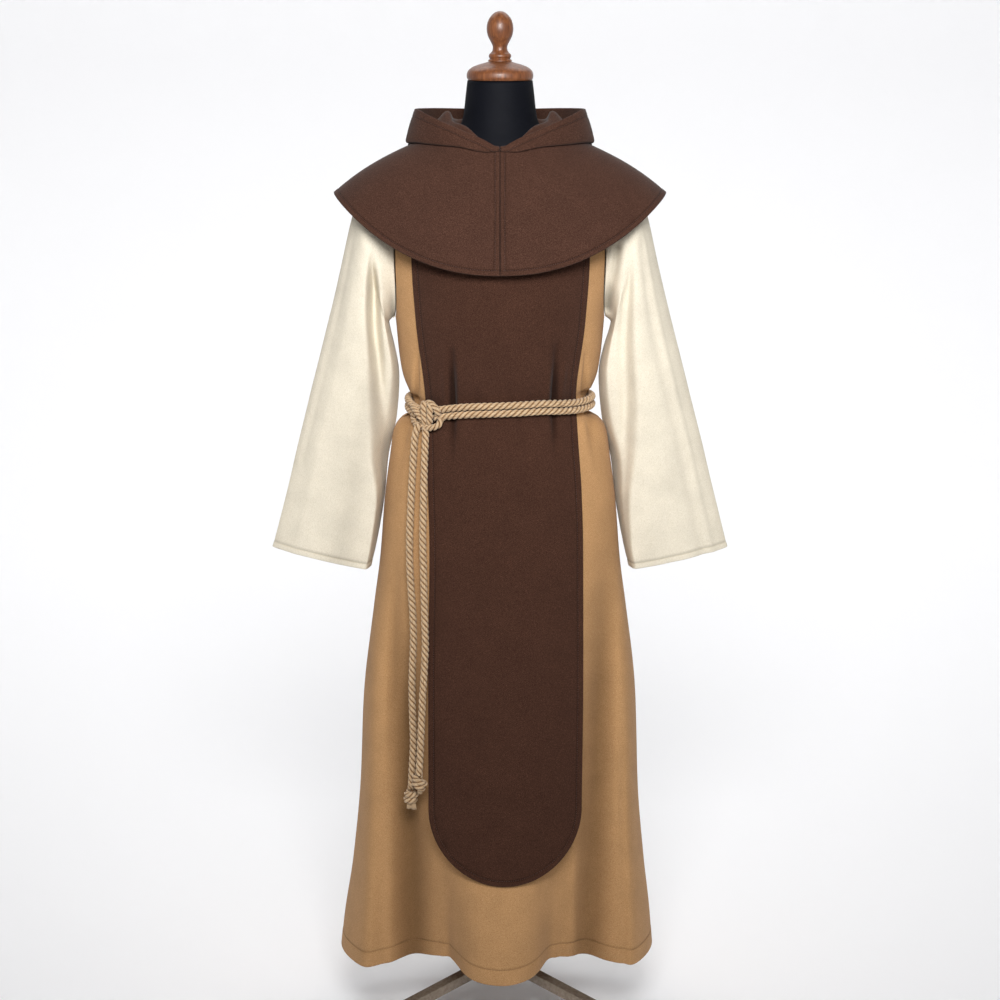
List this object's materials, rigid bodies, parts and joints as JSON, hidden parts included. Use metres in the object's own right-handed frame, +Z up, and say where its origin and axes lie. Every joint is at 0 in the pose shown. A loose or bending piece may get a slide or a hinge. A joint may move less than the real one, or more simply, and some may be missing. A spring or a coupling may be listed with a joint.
{
  "type": "monastic habit on a dress form with a three-legged stand",
  "caption": "Full-length monastic habit with bell sleeves, scapular, hooded shoulder cape and knotted rope belt, standing on a dress form.",
  "frame": {"origin": "on the floor under the middle of the whole object", "axes": "+Z up, the front faces -Y, +X to the right of someone looking at the front"},
  "size_m": [0.808, 0.5254, 1.7999],
  "materials": {
    "tan_wool": "matt twill",
    "cream_wool": "matt twill",
    "brown_wool": "matt, lightly heathered",
    "rope_fibre": "matt, laid from three strands",
    "navy_jersey": "matt knit",
    "turned_wood": "gloss varnish",
    "dark_painted_metal": "satin",
    "black_rubber": "matt"
  },
  "bodies": {
    "root": {"robe_front": "tan_wool", "robe_back": "tan_wool", "sleeve_left": "cream_wool", "sleeve_right": "cream_wool", "scapular_front": "brown_wool", "scapular_back": "brown_wool", "cape_left": "brown_wool", "cape_right": "brown_wool", "hood_left": "brown_wool", "hood_right": "brown_wool", "belt_turn_upper": "rope_fibre", "belt_turn_lower": "rope_fibre", "belt_knot": "rope_fibre", "tail_left": "rope_fibre", "tail_right": "rope_fibre", "tail_knot_left": "rope_fibre", "tail_knot_right": "rope_fibre", "form_torso": "navy_jersey", "neck_cap": "turned_wood", "finial": "turned_wood", "pole": "dark_painted_metal", "hub": "dark_painted_metal", "leg_1": "dark_painted_metal", "leg_2": "dark_painted_metal", "leg_3": "dark_painted_metal", "foot_1": "black_rubber", "foot_2": "black_rubber", "foot_3": "black_rubber"}
  },
  "joints": []
}
